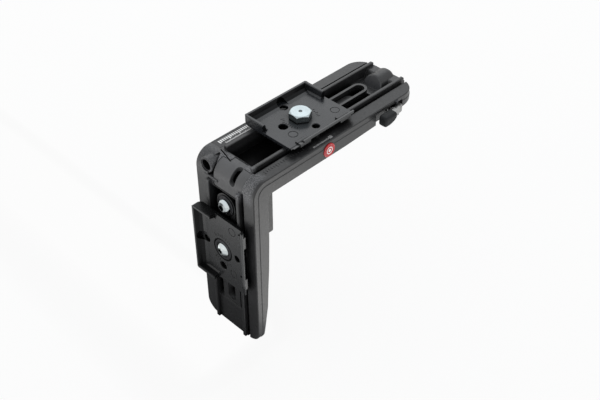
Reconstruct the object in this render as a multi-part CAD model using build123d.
from build123d import *
import math
import os

# Camera L-bracket with two quick-release plates.  Millimetres, +Z up.
# Laid out from the outer corner of the L: the horizontal arm "H" runs along +X with its
# outer face on z = 0, the vertical arm "V" hangs along -Z with its outer face on x = 0.
# "Near" is -Y and "far" is +Y.  On export everything moves so that the origin is where the
# camera screw's axis meets the camera seat.

# frame
ARM_H = 144.0                    # corner to far end
ARM_V = 131.8                    # corner to tip
THICK = 11.0
HALF_W = 25.0                    # half width of the lower skirt
CAP_HALF_W = 24.7                # half width of the outer cap layer
CAP_T = 3.5                      # depth of the cap layer
CAP_INSET = 0.5                  # the cap stops this far inside the skirt's ends
R_CORNER = 10.0                  # outer corner
R_INNER = 4.0                    # inner corner
R_END_H = 13.0                   # plan radii at the arm ends
R_END_V = 10.0
BEYOND = -THICK - 2              # cutters through the inner face start here

# rails, grooves and channels, mirrored or offset from the arm's middle line
RAIL_IN, RAIL_OUT = 11.6, 14.0
RAIL_H = 2.3
RAIL_START_NEAR, RAIL_START_FAR = 10.2, 13.4
RAIL_SHORT = 1.6                 # gap to the arm's end
GROOVE_NEAR = 16.0               # outer edges of the grooves beside the rails
GROOVE_FAR = {"H": 16.9, "V": 15.2}
CHAN_D = 8.0                     # channel floor depth
CHAN_H0, CHAN_H1 = 12.9, 136.5
SHALLOW_X, SHALLOW_D = 119.6, 5.0  # the long channel is shallower from here on
CHAN_V0, CHAN_V1 = 17.0, 109.6

# slots
SLOT_W = 6.8
TEE_W = 13.2                     # wide part on the inner side
TEE_D0 = 6.0                     # depth where the wide part starts
SLOT_H0, SLOT_H1 = 50.0, 118.6
SLOT_V0, SLOT_V1 = 22.6, 107.2
RIM_H, RIM_W = 0.5, 1.8          # raised rim round the long slot
LAND_H, LAND_W = -0.4, 7.9       # land round the short slot: level, half width

# T grooves for the camera carriage
T_Y = 15.0                       # either side of the middle
T_STEM, T_HEAD = 1.6, 2.6        # half widths
T_FIT = 0.05

# quick-release plates; heights are above the arm's outer face
PLATE_LEN = 52.5
PLATE_FAR = 21.8                 # far edge at the top
PLATE_NEAR = -20.2               # near edge at the lip top
PLATE_TOP = 8.8
PLATE_LIP = 6.2                  # near lip top
PLATE_FLOOR = 4.4
PLATE_FOOT = RAIL_H + 0.02
PLATE_RETURN = 16.5              # length of the end returns
BASE_X = 62.3                    # plate centre on the horizontal arm
SIDE_S = 59.8                    # plate centre on the vertical arm

# fasteners
R_QUARTER = 3.175                # 1/4 inch camera thread, major radius
R_M6 = 3.0
R_BUTTON = 4.75                  # domed heads
HEX_R, HEX_TURN = 7.25, 27.3     # base bolt head
UPPER_S = 27.0                   # domed screw on the vertical arm
STOP_SCREW_Z = (-34.0, -43.0)

# corner: saddle and socket
SADDLE_Y = (-14.7, -11.3, -7.5, 3.4, 9.3)  # steps in the saddle's outline, near to far
SADDLE_TOP, SADDLE_BOTTOM = 0.35, 3.35     # depths below the outer face
SADDLE_GAP = 0.14
SADDLE_SCREW_Y = (-7.0, 7.0)
SADDLE_SCREW_Z = -12.8
SOCKET_Y, SOCKET_Z = 15.8, -5.9
END_SOCKET_Y, END_SOCKET_Z = -0.4, -3.2
BADGE_X, BADGE_Z = 61.2, -6.1

# camera seat and carriage
CARRIAGE_X0, CARRIAGE_X1 = 60.0, 129.5
CARRIAGE_TOP = -THICK - 0.05
CARRIAGE_BOTTOM = -14.3
CAM_X = 88.0
SEAT_Z = -15.8

# lever
HUB_X, HUB_Y, HUB_R = 122.5, -24.4, 4.3
HUB_Z0, HUB_Z1 = -9.6, -3.7
CAM_DROP = 0.45                  # the cam's largest loss of radius
PLUNGER_Z = -8.0


# --- helpers ---------------------------------------------------------------
def block(x0, x1, y0, y1, z0, z1):
    return Pos((x0 + x1) / 2, (y0 + y1) / 2, (z0 + z1) / 2) * Box(x1 - x0, y1 - y0, z1 - z0)


def rod_z(x, y, z0, z1, radius):
    return Pos(x, y, (z0 + z1) / 2) * Cylinder(radius, z1 - z0)


def rod_x(y, z, x0, x1, radius):
    return Pos((x0 + x1) / 2, y, z) * Rot(0, 90, 0) * Cylinder(radius, x1 - x0)


def rod_y(x, z, y0, y1, radius):
    return Pos(x, (y0 + y1) / 2, z) * Rot(90, 0, 0) * Cylinder(radius, y1 - y0)


def hex_x(x, y, z, radius, reach):
    """Hexagonal cutter along X, reaching both ways from x."""
    return Pos(x, y, z) * Rot(0, 90, 0) * extrude(RegularPolygon(radius, 6), reach, both=True)


def upright_cone(z0, radius0, radius1, height):
    base = (Align.CENTER, Align.CENTER, Align.MIN)
    return Pos(0, 0, z0) * Cone(radius0, radius1, height, align=base)


def prism(points, half, plane=Plane.XZ):
    """Closed outline on the plane, extruded by half to both sides."""
    return extrude(make_face(plane * Polyline(*points, close=True)), half, both=True)


def edges_at(edges, **places):
    """Edges whose centre has the given coordinates, such as X=0."""
    return [edge for edge in edges
            if all(abs(getattr(edge.center(), axis) - place) < 0.01
                   for axis, place in places.items())]


def arm_box(arm, s0, s1, y0, y1, h0, h1):
    """s runs along the arm from the corner, h is height above the outer face."""
    if arm == "H":
        return block(s0, s1, y0, y1, h0, h1)
    return block(-h1, -h0, y0, y1, -s1, -s0)


def arm_rod(arm, s, h0, h1, radius):
    if arm == "H":
        return rod_z(s, 0, h0, h1, radius)
    return rod_x(0, -s, -h1, -h0, radius)


def arm_slot(arm, s0, s1, h0, h1, half):
    """Round-ended bar along the arm."""
    return (arm_box(arm, s0 + half, s1 - half, -half, half, h0, h1)
            + arm_rod(arm, s0 + half, h0, h1, half)
            + arm_rod(arm, s1 - half, h0, h1, half))


def to_vertical(shape, s):
    """Turn a piece built about the origin, z = height, onto the vertical arm at s."""
    return Pos(0, 0, -s) * Rot(0, -90, 0) * shape


def corner_strip(y0, y1, top, bottom, x_end, z_end=R_CORNER):
    """Strip round the outer corner between two depths; it ends at x_end and at -z_end."""
    centre = R_CORNER
    outer, inner = centre - top, centre - bottom
    past_corner = x_end > centre
    outer_start, inner_start = (
        90 if past_corner else math.degrees(math.acos((x_end - centre) / radius))
        for radius in (outer, inner))
    with BuildSketch(Plane.XZ) as section:
        with BuildLine():
            if past_corner:
                Line((x_end, -top), (centre, -top))
            CenterArc((centre, -centre), outer, outer_start, 180 - outer_start)
            if z_end > centre:
                Line((top, -centre), (top, -z_end))
                Line((top, -z_end), (bottom, -z_end))
                Line((bottom, -z_end), (bottom, -centre))
            else:
                Line((top, -centre), (bottom, -centre))
            CenterArc((centre, -centre), inner, 180, inner_start - 180)
            if past_corner:
                Line((centre, -bottom), (x_end, -bottom))
                Line((x_end, -bottom), (x_end, -top))
            else:
                Line((x_end, -centre + inner * math.sin(math.radians(inner_start))),
                     (x_end, -centre + outer * math.sin(math.radians(outer_start))))
        make_face()
    return extrude(Pos(0, (y0 + y1) / 2, 0) * section.sketch, (y1 - y0) / 2, both=True)


def corner_slit():
    """Slanted cutter across the upper end of the saddle."""
    return Pos(9.95, 8.9, 0) * Rot(0, 0, -15.0) * Box(0.8, 12.6, 6.4)


# --- bracket frame ---------------------------------------------------------
# (x, z) outlines cut away from the inner side
H_SKIRT_TAPER = [
    (76, -THICK), (110, -9.8), (128, -8.2), (136, -7.0), (144, -5.6), (150, -5.4),
    (150, -14), (76, -14)]
V_SKIRT_TAPER = [
    (THICK, -46), (10.2, -70), (9.2, -85), (8.4, -101), (7.1, -109.5), (5.9, -117.5),
    (5.0, -122.5), (4.4, -140), (14, -140), (14, -46)]
V_TIP_TAPER = [(THICK, -111), (7.0, -133), (7.0, -140), (14, -140), (14, -111)]
# (x, z) outlines of the channels
LONG_CHANNEL = [
    (CHAN_H0, 3), (CHAN_H0, 0.0), (CHAN_H0 + 1.2, -0.9), (17.6, -CHAN_D),
    (SHALLOW_X, -CHAN_D), (SHALLOW_X + 1.2, -SHALLOW_D), (133.4, -SHALLOW_D),
    (CHAN_H1 - 0.6, -0.6), (CHAN_H1 + 0.2, 0.0), (CHAN_H1 + 0.2, 3)]
SHORT_CHANNEL = [
    (-3, -CHAN_V0), (CHAN_D, -CHAN_V0), (CHAN_D, -CHAN_V1 + 4), (0.2, -CHAN_V1), (-3, -CHAN_V1)]
# (x, z) outline trimmed off the end boss's inboard end
BOSS_TRIM = [(118, 8), (132.2, 8), (131.1, 5), (127.2, -5.5), (124.8, -13), (118, -13)]
# (x, y) outline of the gap beside the socket tube
TUBE_GAP = [(-2, 9.2), (3.0, 9.2), (9.2, 12.3), (9.2, 13.6), (6.0, 14.2), (-2, 14.2)]


def ell_layer(inset, depth, half, corner_radius, rim_chamfer):
    """Solid L with outer faces at depth, rounded ends and a chamfered outer rim."""
    len_h, len_v = ARM_H - inset, ARM_V - inset
    body = prism([(depth, -depth), (len_h, -depth), (len_h, -THICK), (THICK, -THICK),
                  (THICK, -len_v), (depth, -len_v)], half)
    for place, radius in ((depth, corner_radius), (THICK, R_INNER)):
        body = fillet(edges_at(body.edges().filter_by(Axis.Y), X=place, Z=-place), radius)
    body = fillet(edges_at(body.edges().filter_by(Axis.Z), X=len_h), R_END_H - inset)
    body = fillet(edges_at(body.edges().filter_by(Axis.X), Z=-len_v), R_END_V - inset)

    def on_rim(edge):
        mid = edge.center()
        on_face = ((abs(mid.Z + depth) < 0.02 and mid.X > depth + 1)
                   or (abs(mid.X - depth) < 0.02 and mid.Z < -depth - 1))
        crosses_arm = edge.geom_type == GeomType.LINE and abs(mid.Y) < 1
        return on_face and not crosses_arm

    return chamfer([edge for edge in body.edges() if on_rim(edge)], rim_chamfer)


def frame_shell():
    shell = (ell_layer(CAP_INSET, 0.0, CAP_HALF_W, R_CORNER, 0.45)
             + ell_layer(0.0, CAP_T, HALF_W, R_CORNER - CAP_T, 0.28))
    for y in (-23.5, 23.5):
        for outline in (H_SKIRT_TAPER, V_SKIRT_TAPER):
            shell -= Pos(0, y, 0) * prism(outline, 3.5)
    return shell - prism(V_TIP_TAPER, 30)


def add_rails(frame):
    """Two round-topped rails on each arm, with a groove outside each."""
    for arm, length in (("H", ARM_H), ("V", ARM_V)):
        frame -= arm_box(arm, 9.2, length + 2, -GROOVE_NEAR, -RAIL_OUT, -3.4, 3)
        frame -= arm_box(arm, 43.0, length + 2, RAIL_OUT, GROOVE_FAR[arm], -1.6, 3)
        top = {"Z": RAIL_H} if arm == "H" else {"X": -RAIL_H}
        for start, y0, y1 in ((RAIL_START_NEAR, -RAIL_OUT, -RAIL_IN),
                              (RAIL_START_FAR, RAIL_IN, RAIL_OUT)):
            rail = arm_box(arm, start, length - RAIL_SHORT, y0, y1, -5.0, RAIL_H)
            frame += fillet(edges_at(rail.edges(), **top), 0.65)
    return frame


def cut_channels_and_slots(frame):
    for outline in (LONG_CHANNEL, SHORT_CHANNEL):
        frame -= prism(outline, RAIL_IN)
    # slot bodies: narrow rim on the long arm, wide round-ended land on the short arm
    frame += arm_slot("H", SLOT_H0 - RIM_W, SLOT_H1 + RIM_W, -CHAN_D, RIM_H, SLOT_W / 2 + RIM_W)
    frame += (arm_slot("V", UPPER_S - LAND_W, 121.0, -CHAN_D, LAND_H, LAND_W)
              & arm_box("V", 15, CHAN_V1 + 1.0, -LAND_W, LAND_W, -CHAN_D, LAND_H))
    for arm, s0, s1 in (("H", SLOT_H0, SLOT_H1), ("V", SLOT_V0, SLOT_V1)):
        frame -= arm_slot(arm, s0, s1, BEYOND, 4, SLOT_W / 2)
    for arm, s0, s1 in (("H", SLOT_H0 - 1.5, SLOT_H1 + 1.5), ("V", 16.4, SLOT_V1 + 1.5)):
        frame -= arm_box(arm, s0, s1, -TEE_W / 2, TEE_W / 2, BEYOND, -TEE_D0)
    return frame


def add_end_boss(frame):
    """Barrel along the far end of the long arm, with a socket."""
    boss = rod_x(-0.2, -4.6, 124.0, ARM_H - 0.3, 7.6)
    boss = fillet(edges_at(boss.edges(), X=ARM_H - 0.3), 3.0)
    boss -= prism(BOSS_TRIM, 10)
    boss = fillet(boss.edges().filter_by(GeomType.ELLIPSE), 0.9)
    frame += boss & block(120, 150, -10, 10, -8.7, 5)
    return frame - rod_x(END_SOCKET_Y, END_SOCKET_Z, 136.0, ARM_H + 5, 4.6)


def cut_carriage_grooves(frame):
    for y in (-T_Y, T_Y):
        frame -= block(50, ARM_H + 3, y - T_STEM, y + T_STEM, BEYOND, -9.3)
        frame -= block(50, ARM_H + 3, y - T_HEAD, y + T_HEAD, -9.4, -6.8)
    return frame


def shape_corner(frame):
    """Saddle pocket, closed towards the inside, and the socket tube on its far side."""
    y0, y1, y2, _, y4 = SADDLE_Y
    pocket_far = y4 + SADDLE_GAP
    step = y2 - SADDLE_GAP
    inner_round = Pos(THICK + 2.0, 0, -THICK - 2.0) * Rot(90, 0, 0) * Cylinder(4.9, 40)
    frame -= (block(-2, 8.85, y1, pocket_far, -16.6, 3)
              + block(8.0, 12.0, step, 3.5, -16.6, 3) - inner_round)
    frame -= corner_strip(y0 - 2 * SADDLE_GAP, y1 + 0.3, -3.0, 3.4, 8.85)
    frame -= corner_strip(y1, pocket_far, -3.0, 3.4, 8.85, 16.5)
    frame -= corner_strip(step, 3.5, -3.0, 3.4, 12.75)
    frame += block(8.0, 11.0, -11.9, 11.9, -16.6, -9.0)
    # deep gap along the tube's inner flank, then the tube
    frame -= Pos(0, 0, -4.4) * prism(TUBE_GAP, 8.0, Plane.XY)
    tube = rod_x(SOCKET_Y, SOCKET_Z, 0.3, 12.0, 5.0)
    frame += chamfer(edges_at(tube.edges(), X=0.3), 0.4)
    frame -= rod_x(SOCKET_Y, SOCKET_Z, -3, 10.6, 4.15)
    # ledge under the tube
    ledge = block(-0.5, 6.0, 9.46, 16.8, -13.0, -11.5)
    frame += fillet(edges_at(ledge.edges().filter_by(Axis.Y), X=-0.5), 0.6)
    return frame - (corner_slit() & block(0, 20, 3.2, 14.8, -3.2, 3.2))


def cut_lever_recess(frame):
    """Recess in the near side, plunger bore, and pin bore in the recess roof."""
    frame -= block(103.5, 128.6, -27, -21.4, -13, -2.4)
    frame -= rod_z(HUB_X, HUB_Y, -13, -2.4, 5.2) & block(100, 128.9, -40, 0, -20, 0)
    frame -= rod_y(HUB_X, PLUNGER_Z, -21.6, -17.0, 1.45)
    return frame - rod_z(HUB_X, HUB_Y, -13, -0.6, 1.51)


def bracket_frame():
    frame = add_rails(frame_shell())
    frame = cut_channels_and_slots(frame)
    frame = add_end_boss(frame)
    frame = cut_carriage_grooves(frame)
    frame = shape_corner(frame)
    frame = cut_lever_recess(frame)
    # label and badge seats
    frame -= block(12.3, 41.5, 15.85, 23.65, -0.35, 2)
    frame -= rod_y(BADGE_X, BADGE_Z, -27, -24.2, 4.75)
    # countersunk saddle screw holes from the inner corner
    for y in SADDLE_SCREW_Y:
        frame -= rod_x(y, SADDLE_SCREW_Z, 7.0, 13, 1.7)
        frame -= rod_x(y, SADDLE_SCREW_Z, 9.6, 13.5, 3.0)
    return frame


# --- corner saddle: curved cover with two screw posts ----------------------
def corner_saddle():
    y0, y1, y2, y3, y4 = SADDLE_Y
    depths = (SADDLE_TOP, SADDLE_BOTTOM)
    saddle = (corner_strip(y0, y1 + 0.2, *depths, 8.7)
              + corner_strip(y1, y2, *depths, 8.7, 16.4)
              + corner_strip(y2, y3, *depths, 12.6, 16.4)
              + corner_strip(y3, y4, *depths, 8.7, 16.4))
    saddle -= corner_slit()
    # curved slot that follows the corner, round at both ends
    saddle -= (block(-2, 6.9, -8.25, -3.95, -7.1, 3) + rod_z(6.9, -6.1, -7.1, 3, 2.15)
               + rod_x(-6.1, -7.1, -2, 6.9, 2.15))
    # small rib along the lower end
    rib = block(-0.5, 1.0, 5.8, y4, -13.0, -11.5)
    saddle += fillet([edge for edge in rib.edges() if edge.center().X < -0.2
                      and abs(edge.center().Y - y4) > 0.01], 0.6)
    for y in SADDLE_SCREW_Y:
        saddle += (rod_x(y, SADDLE_SCREW_Z, 2.2, 7.9, 2.9)
                   & block(0, 8, -11.2, y4 - 0.05, -15.7, -9.7))
        saddle -= rod_x(y, SADDLE_SCREW_Z, 3.4, 9, 1.48)
    return saddle


def saddle_screw(y):
    head_x = 10.9
    screw = (rod_x(y, SADDLE_SCREW_Z, 3.6, 10.0, 1.45)
             + rod_x(y, SADDLE_SCREW_Z, 9.65, head_x, 2.8))
    screw = chamfer(edges_at(screw.edges(), X=head_x), 0.3)
    return screw - hex_x(head_x, y, SADDLE_SCREW_Z, 1.45, 1.2)


# --- bushings, label and badge ---------------------------------------------
def bushing(y, z, x0, x1, outer, inner):
    body = rod_x(y, z, x0, x1, outer) - rod_x(y, z, x0 - 1, x1 + 1, inner)
    return chamfer([edge for edge in body.edges() if edge.geom_type == GeomType.CIRCLE
                    and abs(edge.radius - inner) < 0.01], 0.25)


def scale_label():
    label = block(12.4, 41.4, 15.95, 23.55, -0.34, -0.02)
    return fillet(label.edges().filter_by(Axis.Z), 0.6)


def side_badge():
    """Disc on the near side with a ring groove in its face."""
    badge = rod_y(BADGE_X, BADGE_Z, -25.45, -24.22, 4.65)
    badge = fillet(edges_at(badge.edges(), Y=-25.45), 0.35)
    return badge - (rod_y(BADGE_X, BADGE_Z, -26, -25.33, 3.75)
                    - rod_y(BADGE_X, BADGE_Z, -26, -25.0, 3.35))


# --- quick-release plate, about its own centre, z = height -----------------
# (y, z) cross-section, from the near foot over the lip and floor to the far wall
PLATE_SECTION = [
    (-16.4, PLATE_FOOT), (-17.0, PLATE_FOOT + 0.5), (PLATE_NEAR + 0.3, 4.5),
    (PLATE_NEAR, 5.2), (PLATE_NEAR, PLATE_LIP - 0.5), (PLATE_NEAR + 0.5, PLATE_LIP),
    (-18.6, PLATE_LIP), (-18.0, PLATE_FLOOR + 0.1), (-17.4, PLATE_FLOOR),
    (14.2, PLATE_FLOOR), (16.6, PLATE_FLOOR + 0.5), (18.5, PLATE_FLOOR + 1.9),
    (19.5, PLATE_TOP - 0.35), (19.85, PLATE_TOP), (PLATE_FAR - 0.55, PLATE_TOP),
    (PLATE_FAR, PLATE_TOP - 0.55), (PLATE_FAR - 0.5, 5.0), (19.0, PLATE_FOOT + 0.6),
    (18.2, PLATE_FOOT)]
# end return: (distance in from the plate's end, z)
RETURN_SECTION = [
    (0, 4.0), (0, PLATE_TOP - 0.4), (0.4, PLATE_TOP), (1.8, PLATE_TOP),
    (2.2, PLATE_TOP - 0.45), (3.0, PLATE_FLOOR + 0.7), (4.4, PLATE_FLOOR - 0.2)]


def end_return(side):
    """Low wall along a plate end, sloped on its inner side."""
    half = PLATE_LEN / 2
    free_end = PLATE_FAR - 0.5 - PLATE_RETURN
    wall = prism([(side * (half - inward), z) for inward, z in RETURN_SECTION],
                 PLATE_RETURN / 2)
    wall = Pos(0, free_end + PLATE_RETURN / 2, 0) * wall
    return chamfer([edge for edge in edges_at(wall.edges(), Y=free_end)
                    if abs(edge.center().X) > half - 3.2 and edge.center().Z > 5.6], 0.35)


def round_plate_corners(plate):
    half = PLATE_LEN / 2
    far_r, near_r = 2.6, 1.4
    far_y, near_y = PLATE_FAR - far_r, PLATE_NEAR + near_r
    # side, radius, arc centre y, turn of the cutter
    for side, radius, y, turn in ((-1, far_r, far_y, 90), (-1, near_r, near_y, 180),
                                  (1, far_r, far_y, 0), (1, near_r, near_y, -90)):
        cutter = block(0, 3, 0, 3, -1, 12) - rod_z(0, 0, -2, 13, radius)
        plate -= Pos(side * (half - radius), y, 0) * (Rot(0, 0, turn) * cutter)
    return plate


def cut_floor_marks(plate):
    """Two shallow rings and radial ticks on both sides of the screw."""
    for x, y in ((20.2, -9.4), (-15.0, -8.8)):
        plate -= ((rod_z(x, y, PLATE_FLOOR - 0.25, 20, 3.0) - rod_z(x, y, 0, 20, 2.6))
                  & block(-30, 30, -30, 30, 0, 6))
    for k in range(-4, 5):
        length = 2.2 if k % 2 == 0 else 1.3
        for side_angle in (0.0, 180.0):
            tick = block(9.9, 9.9 + length, -0.16, 0.16, PLATE_FLOOR - 0.22, 20)
            plate -= (Rot(0, 0, side_angle + k * 9.0) * tick
                      & block(-30, 30, -9.6, 9.6, 0, 6))
    return plate


def quick_plate(counterbore=False):
    half = PLATE_LEN / 2
    plate = prism(PLATE_SECTION, half, Plane.YZ)
    for side in (-1, 1):
        plate += end_return(side)
    # near corner at -X drops to the floor, small notch beside the lip
    plate -= block(-half - 1, -18.4, -30, -16.4, PLATE_FLOOR, 20)
    plate -= block(-18.4, -17.0, -30, -18.4, 3.6, 20)
    plate -= block(-half - 1, -half + 1.2, -30, -18.6, 3.0, 20)
    plate = round_plate_corners(plate)
    # solid blocks under the near lip, with a gap between them
    for x0, x1 in ((-20.0, -11.6), (13.8, 22.8)):
        y0, z0 = PLATE_NEAR + 0.05, PLATE_FOOT + 0.5
        foot = block(x0, x1, y0, -15.5, z0, 5.3)
        plate += chamfer(edges_at(foot.edges(), Y=y0, Z=z0), 0.5)
    plate -= block(-11.1, 13.3, -30, -17.6, 0, 4.6)
    # hollow underside with two ribs
    plate -= (block(-half + 3, half - 3, -10.8, 10.8, 0, 3.2)
              - block(-half, half, -7.9, -7.1, 0, 3.3) - block(-half, half, 7.1, 7.9, 0, 3.3))
    # screw hole, then small holes with flared mouths
    plate -= rod_z(0, 0, 0, 20, 3.4)
    if counterbore:
        plate -= rod_z(0, 0, PLATE_FLOOR - 0.75, 20, 7.55)
    for x, y, radius in ((-13.8, 0.6, 2.8), (0.4, -12.5, 2.3), (0.2, 14.4, 2.5)):
        plate -= rod_z(x, y, 0, PLATE_FLOOR + 1.6, radius)
        plate -= Pos(x, y, 0) * upright_cone(PLATE_FLOOR - 0.35, radius, radius + 0.4, 0.4)
    # pocket in the far wall
    plate -= rod_y(1.5, 4.9, 14.0, 20.1, 3.55) & block(-5, 8, 13, 21, PLATE_FLOOR, 12)
    return cut_floor_marks(plate)


# --- fasteners of the two arms, about their own axis, z = height -----------
BASE_SEAT = PLATE_FLOOR + 0.02
UPPER_SEAT = LAND_H + 0.02


def ring(outer, inner, z0, z1, bevel):
    disc = rod_z(0, 0, z0, z1, outer)
    disc = chamfer(disc.edges().filter_by(GeomType.CIRCLE), bevel)
    return disc - rod_z(0, 0, z0 - 1, z1 + 1, inner)


def shank(z0, z1, radius, bevel=0.5):
    """Plain shank, bevelled at its lower end."""
    rod = rod_z(0, 0, z0, z1, radius)
    return chamfer(edges_at(rod.edges(), Z=z0), bevel)


def base_bolt():
    """Hexagonal head with a bevelled crown and a dimple."""
    z0, z1 = BASE_SEAT + 0.47, BASE_SEAT + 4.65
    bevel = 1.15
    crown = rod_z(0, 0, z0, z1 - bevel, 8.0) + upright_cone(z1 - bevel, 8.0, 5.95, bevel)
    blank = extrude(Pos(0, 0, z0) * Rot(0, 0, HEX_TURN) * RegularPolygon(HEX_R, 6), z1 - z0)
    head = (blank & crown) - upright_cone(z1 - 0.55, 0.55, 1.25, 0.6)
    return head + shank(-10.9, BASE_SEAT + 1.2, R_QUARTER)


def base_slot_nut():
    nut = block(-6.3, 6.3, -6.45, 6.45, -10.6, -6.12)
    nut = chamfer(nut.edges().filter_by(Axis.Z), 0.6)
    return nut - rod_z(0, 0, -20, 0, R_QUARTER + 0.05)


def side_washer():
    """Lies in the side plate's counterbore, recessed for the bolt's head."""
    washer = ring(7.2, 3.4, PLATE_FLOOR - 0.73, PLATE_FLOOR + 0.1, 0.2)
    return washer - rod_z(0, 0, PLATE_FLOOR - 0.35, 20, 5.55)


def upper_washer():
    washer = ring(6.9, 3.3, UPPER_SEAT, UPPER_SEAT + 0.85, 0.25)
    return washer - (rod_z(0, 0, UPPER_SEAT + 0.62, 20, 6.2) - rod_z(0, 0, 0, 30, 5.6))


def domed_screw(seat, rise, flat, hex_radius, hex_floor, shank_radius):
    """Dome on a short band, rising to a flat of the given radius, with a hex socket."""
    band_top = seat + 0.5
    drop = (R_BUTTON**2 - flat**2 + rise**2) / (2 * rise)  # flat to sphere centre
    sphere = Pos(0, 0, band_top + rise - drop) * Sphere(math.hypot(flat, drop))
    head = (rod_z(0, 0, seat - 0.02, band_top, R_BUTTON)
            + (sphere & rod_z(0, 0, band_top, band_top + rise, R_BUTTON)))
    head -= extrude(Pos(0, 0, seat + hex_floor) * RegularPolygon(hex_radius, 6), 5)
    return head + shank(-10.7, band_top, shank_radius)


# --- side carriage on the vertical arm -------------------------------------
def side_clamp_bar():
    bar = block(6.15, 10.75, -6.45, 6.45, -68.0, -17.9)
    bar = chamfer(bar.edges().filter_by(Axis.X), 0.6)
    bar -= rod_x(0, -UPPER_S, 0, 20, R_M6 + 0.05)
    bar -= rod_x(0, -SIDE_S, 0, 20, R_QUARTER + 0.05)
    for z in STOP_SCREW_Z:
        bar -= rod_x(0, z, 0, 20, 2.0)
    return bar


def side_stop():
    face_x = 21.0
    stop = block(11.06, face_x, -19.5, 19.5, -48.2, -15.4)
    stop = fillet(stop.edges().filter_by(Axis.X), 2.5)
    stop = chamfer(edges_at(stop.edges(), X=face_x), 1.6)
    stop -= block(20.0, 22, -16.5, 16.5, -45.0, -18.4)
    for z in STOP_SCREW_Z:
        stop -= rod_x(0, z, 0, 30, 2.15)
        stop -= rod_x(0, z, 17.0, 30, 3.9)
    # relief over the upper screw's end
    return stop - rod_x(0, -UPPER_S, 10, 12.5, 4.0)


def side_stop_pad():
    pad = block(20.02, 21.4, -16.4, 16.4, -44.9, -18.5)
    pad = fillet(pad.edges().filter_by(Axis.X), 1.2)
    for i in range(8):
        y = -14.0 + i * 4.0
        pad -= block(21.0, 22, y - 0.6, y + 0.6, -43.6, -19.8)
    return pad


def side_stop_screw(z):
    screw = rod_x(0, z, 6.4, 18.0, 1.97) + rod_x(0, z, 17.05, 19.6, 3.6)
    return screw - hex_x(19.6, 0, z, 1.7, 1.6)


# --- camera carriage on the inner side of the horizontal arm ---------------
def camera_carriage():
    x0, x1 = CARRIAGE_X0, CARRIAGE_X1
    body = block(x0, x1, -19.4, 19.4, CARRIAGE_BOTTOM, CARRIAGE_TOP)
    body = fillet(body.edges().filter_by(Axis.Z), 3.0)
    body = chamfer(edges_at(body.edges(), Z=CARRIAGE_BOTTOM), 0.7)
    stem, head = T_STEM - T_FIT, T_HEAD - T_FIT
    for y in (-T_Y, T_Y):
        body += block(x0 + 2, x1 - 2, y - stem, y + stem, CARRIAGE_TOP - 0.5, -9.2)
        body += block(x0 + 2, x1 - 2, y - head, y + head, -9.35, -6.85)
    # tongue in the slot, cut out round the camera screw
    body += block(79.8, 109.0, -6.5, 6.5, CARRIAGE_TOP - 0.5, -6.1)
    body += arm_slot("H", 79.8, 109.0, -6.4, -3.0, SLOT_W / 2 - 0.15)
    body -= block(81.6, 94.4, -7, 7, -6.1, 0)
    body -= rod_z(CAM_X, 0, -9.7, 0, 5.8)
    body -= rod_z(CAM_X, 0, -20, 0, 2.75)
    # recesses for the pad and the clip
    body -= block(x0 + 1.9, x1 - 1.9, -17.6, 17.6, -20, -14.0)
    return body - rod_z(CAM_X, 0, -20, -13.2, 5.3)


def camera_pad():
    """Pad with cross grooves, left plain round the screw."""
    pad = block(CARRIAGE_X0 + 2.0, CARRIAGE_X1 - 2.0, -17.5, 17.5, SEAT_Z, -14.02)
    pad = fillet(pad.edges().filter_by(Axis.Z), 1.6)
    for i in range(13):
        x = CARRIAGE_X0 + 6.75 + i * 4.667
        if abs(x - CAM_X) > 7:
            pad -= block(x - 0.7, x + 0.7, -16.0, 16.0, -17, SEAT_Z + 0.5)
    return pad - rod_z(CAM_X, 0, -20, 0, 5.6)


def camera_screw():
    head = rod_z(CAM_X, 0, -9.65, -6.35, 5.6)
    head = chamfer(edges_at(head.edges(), Z=-6.35), 0.4)
    head -= extrude(Pos(CAM_X, 0, -8.4) * RegularPolygon(2.3, 6), 4)
    head += rod_z(CAM_X, 0, SEAT_Z, -9.0, 2.65)
    return head + Pos(CAM_X, 0, 0) * shank(SEAT_Z - 5.6, SEAT_Z, R_QUARTER, 0.6)


def camera_screw_clip():
    clip = rod_z(CAM_X, 0, -14.1, -13.5, 4.8) - rod_z(CAM_X, 0, -20, 0, 2.66)
    return clip - block(CAM_X, CAM_X + 8, -1.3, 1.3, -20, 0)


# --- lock lever: cam hub on a pin, bar, finger tip, plunger ----------------
# (x, y) outline of the bar, from the hub's axis
BAR_OUTLINE = [(-0.5, -4.25), (-0.5, -0.8), (-6.5, -2.4), (-17.0, -3.2), (-17.0, -6.0),
               (-7.0, -5.8)]
# finger tip: (x from the hub's axis, z)
TIP_OUTLINE = [(-18.4, -8.2), (-18.4, -3.2), (-17.2, -2.0), (-8.0, -2.0), (-6.9, -3.1),
               (-6.9, -6.2), (-9.0, -8.0), (-13.0, -9.2), (-17.4, -9.2)]


def cam_radius(angle):
    if angle <= 90:
        return HUB_R - CAM_DROP * (90 - angle) / 90
    if angle < 300:
        return HUB_R
    t = (angle - 300) / 60.0
    return HUB_R - CAM_DROP * t * t * (3 - 2 * t)


def lever_bar():
    face = make_face(Plane.XY * Polyline(*BAR_OUTLINE, close=True))
    return Pos(HUB_X, HUB_Y, -7.5) * extrude(face, 4.3)


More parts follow.
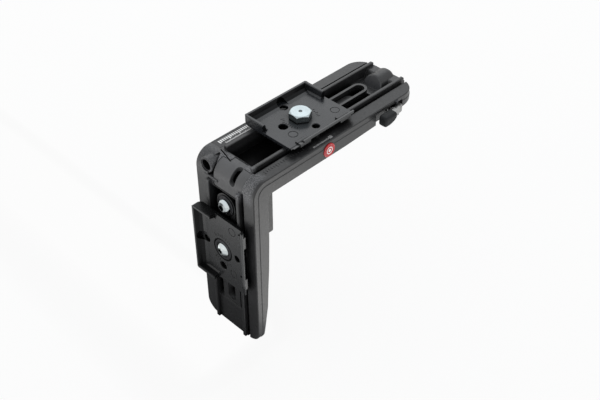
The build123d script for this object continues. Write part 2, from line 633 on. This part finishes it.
def lock_lever():
    points = [(HUB_X + cam_radius(angle) * math.cos(math.radians(angle)),
               HUB_Y + cam_radius(angle) * math.sin(math.radians(angle)))
              for angle in range(0, 360, 15)]
    with BuildSketch(Plane.XY.offset(HUB_Z0)) as section:
        with BuildLine():
            Spline(*points, periodic=True)
        make_face()
    hub = extrude(section.sketch, HUB_Z1 - HUB_Z0)
    for z in (HUB_Z1, HUB_Z0):
        hub = chamfer(edges_at(hub.edges(), Z=z), 0.35)
    # below the bar the near side is cut back to a smaller radius
    hub -= (block(HUB_X - 6, HUB_X + 6, HUB_Y - 6, HUB_Y - 1.4, HUB_Z0 - 1, -7.5)
            - rod_z(HUB_X, HUB_Y, HUB_Z0 - 2, 0, 2.9))
    return hub + lever_bar() - rod_z(HUB_X, HUB_Y, -20, 0, 1.56)


def lever_tip():
    """Finger tip: deep at its free end, drawn in towards the hub."""
    tip = Pos(HUB_X, HUB_Y - 4.95, 0) * prism(TIP_OUTLINE, 3.05)
    tip = fillet(edges_at(tip.edges(), Y=HUB_Y - 8.0), 1.5)
    tip = fillet(edges_at(tip.edges(), Y=HUB_Y - 1.9), 0.8)
    for i in range(4):
        tip -= rod_z(HUB_X - 15.9 + i * 2.1, HUB_Y - 8.35, -7.4, -1, 0.6)
    return tip - lever_bar()


def lever_pin():
    pin = rod_z(HUB_X, HUB_Y, -10.7, -0.62, 1.5) + rod_z(HUB_X, HUB_Y, -10.8, -9.72, 2.7)
    return chamfer(edges_at(pin.edges(), Z=-10.8), 0.25)


def lock_plunger():
    plunger = rod_y(HUB_X, PLUNGER_Z, HUB_Y + HUB_R + 0.12, -17.62, 1.4)
    return chamfer(plunger.edges().filter_by(GeomType.CIRCLE), 0.2)


# --- write -----------------------------------------------------------------
on_base = Pos(BASE_X, 0, 0)
nodes = {
    "bracket_frame": bracket_frame(),
    "corner_saddle": corner_saddle(),
    "saddle_screws": Compound(children=[saddle_screw(y) for y in SADDLE_SCREW_Y]),
    "corner_bushing": bushing(SOCKET_Y, SOCKET_Z, 0.55, 10.4, 4.12, 3.4),
    "end_bushing": bushing(END_SOCKET_Y, END_SOCKET_Z, 136.2, ARM_H - 0.3, 4.57, 3.2),
    "scale_label": scale_label(),
    "side_badge": side_badge(),
    "base_plate": on_base * quick_plate(),
    "base_bolt": on_base * base_bolt(),
    "base_washer": on_base * ring(6.05, 3.4, BASE_SEAT, BASE_SEAT + 0.45, 0.15),
    "base_slot_nut": on_base * base_slot_nut(),
    "side_plate": to_vertical(quick_plate(counterbore=True), SIDE_S),
    "side_bolt": to_vertical(
        domed_screw(PLATE_FLOOR - 0.33, rise=2.15, flat=1.9, hex_radius=1.75, hex_floor=1.3,
                    shank_radius=R_QUARTER), SIDE_S),
    "side_washer": to_vertical(side_washer(), SIDE_S),
    "upper_screw": to_vertical(
        domed_screw(UPPER_SEAT + 0.89, rise=2.5, flat=2.6, hex_radius=2.0, hex_floor=1.1,
                    shank_radius=R_M6), UPPER_S),
    "upper_washer": to_vertical(upper_washer(), UPPER_S),
    "side_clamp_bar": side_clamp_bar(),
    "side_stop": side_stop(),
    "side_stop_pad": side_stop_pad(),
    "side_stop_screws": Compound(children=[side_stop_screw(z) for z in STOP_SCREW_Z]),
    "camera_carriage": camera_carriage(),
    "camera_pad": camera_pad(),
    "camera_screw": camera_screw(),
    "camera_screw_clip": camera_screw_clip(),
    "lock_lever": lock_lever(),
    "lever_tip": lever_tip(),
    "lever_pin": lever_pin(),
    "lock_plunger": lock_plunger(),
}
os.makedirs("parts", exist_ok=True)
to_seat = Pos(-CAM_X, 0, -SEAT_Z)
for name, shape in nodes.items():
    export_step(to_seat * shape, f"parts/{name}.step")
